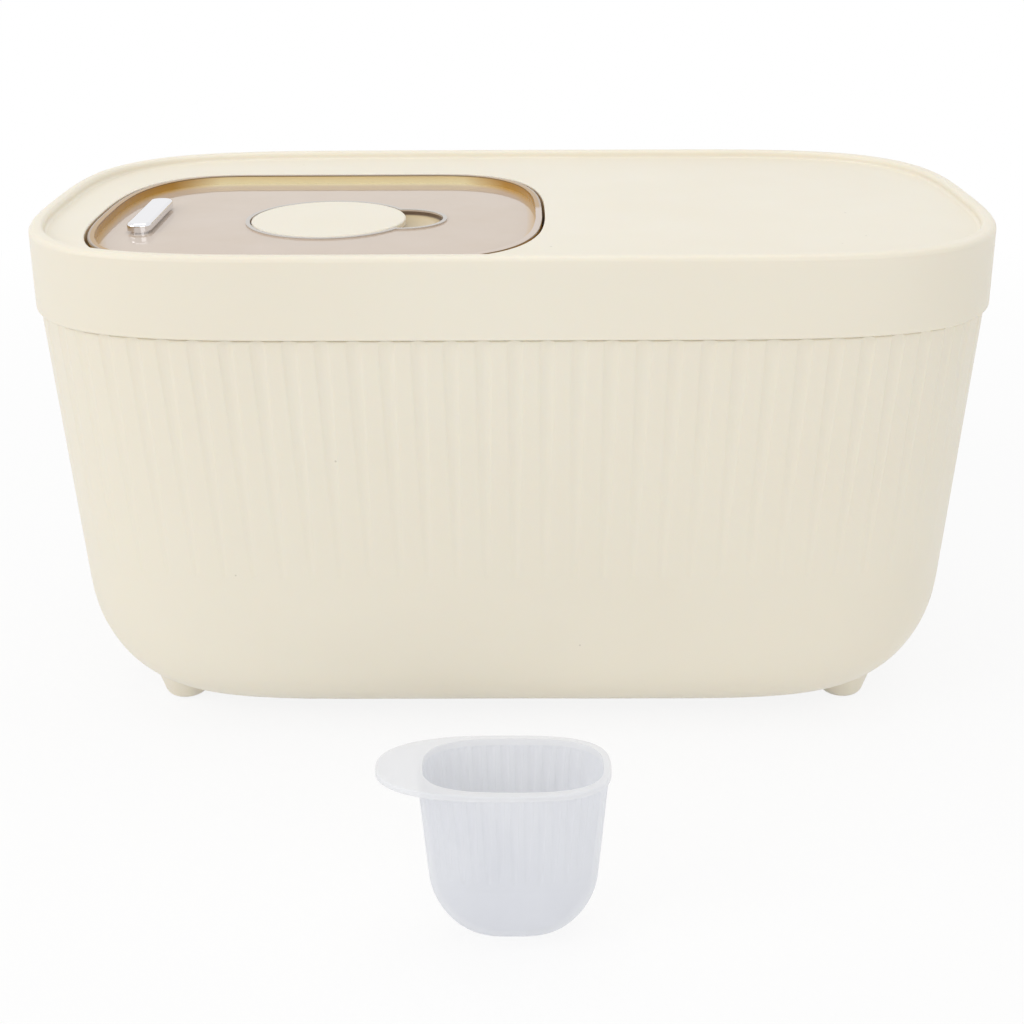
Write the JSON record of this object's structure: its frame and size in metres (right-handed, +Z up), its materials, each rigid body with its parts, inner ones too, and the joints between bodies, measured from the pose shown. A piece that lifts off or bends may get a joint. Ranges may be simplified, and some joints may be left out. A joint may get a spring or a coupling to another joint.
{
  "type": "pet food storage container",
  "caption": "Oblong fluted bin with a lift-off cover, a hinged clear lid with a drying-agent holder, and a measuring cup.",
  "frame": {"origin": "on the floor, at the middle of the box round the container and the cup in front of it", "axes": "+X along the container to the right, +Y to the back, away from the cup, +Z up"},
  "size_m": [0.4016, 0.3476, 0.2165],
  "materials": {
    "cream_plastic": "satin moulded plastic",
    "pad_rubber": "matt soft pad",
    "seal_rubber": "pale silicone",
    "steel": "plain steel",
    "amber_clear": "glossy clear plastic, amber at its edges",
    "polished_chrome": "polished",
    "holder_clear": "clear plastic",
    "sachet_paper": "soft fibre paper",
    "frosted_plastic": "frosted, slightly see-through plastic"
  },
  "bodies": {
    "container": {"bin": "cream_plastic", "foot_pad_front_left": "pad_rubber", "foot_pad_front_right": "pad_rubber", "foot_pad_back_left": "pad_rubber", "foot_pad_back_right": "pad_rubber"},
    "cover": {"cover": "cream_plastic", "cover_gasket": "seal_rubber", "hinge_pin_front": "steel", "hinge_pin_back": "steel"},
    "lid": {"lid": "amber_clear", "lid_seal": "seal_rubber", "pull_handle": "polished_chrome", "handle_screws": "steel", "desiccant_holder": "holder_clear", "desiccant_sachet": "sachet_paper"},
    "cap": {"desiccant_cap": "cream_plastic", "cap_seal": "seal_rubber"},
    "measuring_cup": {"measuring_cup": "frosted_plastic"}
  },
  "joints": [
    {"name": "cover_lift", "type": "slide", "parent": "container", "child": "cover", "axis": [0, 0, 1], "range_m": [0, 0.12]},
    {"name": "lid_hinge", "type": "hinge", "parent": "cover", "child": "lid", "pos_m": [-0.028, 0.05, 0.2101], "axis": [0, 1, 0], "range_deg": [0, 100]},
    {"name": "cap_lift", "type": "slide", "parent": "lid", "child": "cap", "axis": [0, 0, 1], "range_m": [0, 0.03]},
    {"name": "cup_lift", "type": "slide", "parent": "container", "child": "measuring_cup", "axis": [0, 0, 1], "range_m": [0, 0.15]}
  ]
}
